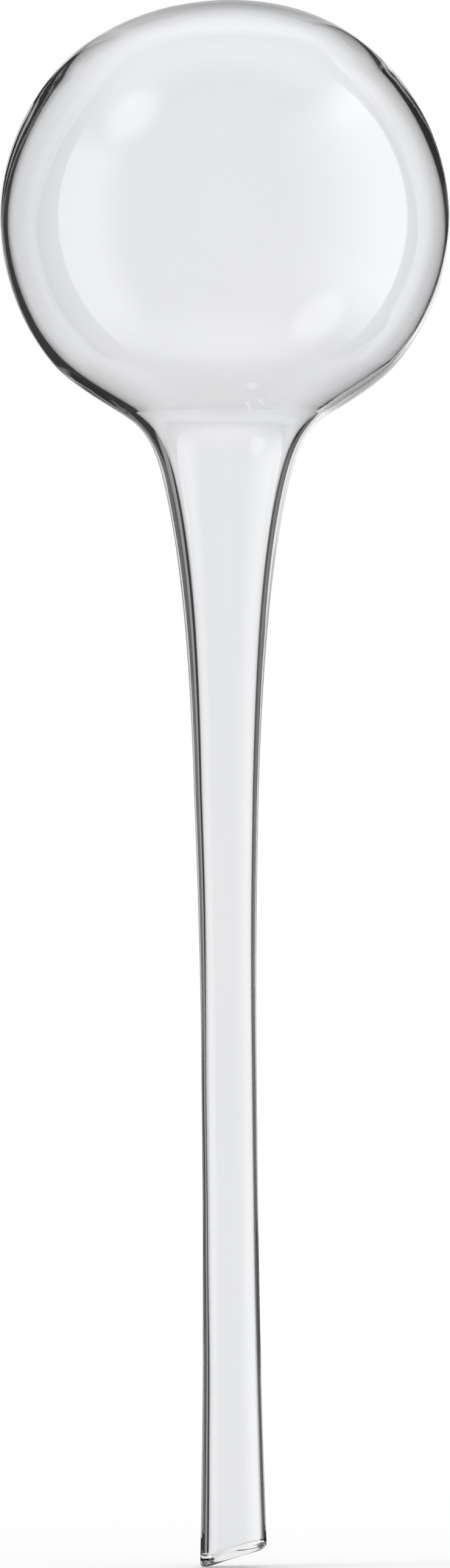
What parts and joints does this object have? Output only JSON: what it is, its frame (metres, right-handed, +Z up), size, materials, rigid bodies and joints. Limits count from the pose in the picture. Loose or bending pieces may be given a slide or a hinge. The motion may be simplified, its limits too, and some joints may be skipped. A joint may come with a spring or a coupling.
{
  "type": "watering globe",
  "caption": "Clear glass watering globe: a hollow blown ball drawn into a tapered neck and a long hollow stem with a slanted open tip that is pushed into a plant pot's soil.",
  "frame": {"origin": "on the axis of the ball and neck, at the level of the stem's lowest point, where the stem goes into the soil", "axes": "+Z up from the stem's tip to the ball, +X towards the side that the stem's lower end leans to, which is the higher side of the slanted mouth"},
  "size_m": [0.08, 0.08, 0.2788],
  "materials": {
    "clear_glass": "clear blown glass, fire-polished"
  },
  "bodies": {
    "root": {"globe": "clear_glass", "neck": "clear_glass", "stem": "clear_glass", "mouth": "clear_glass"}
  },
  "joints": []
}
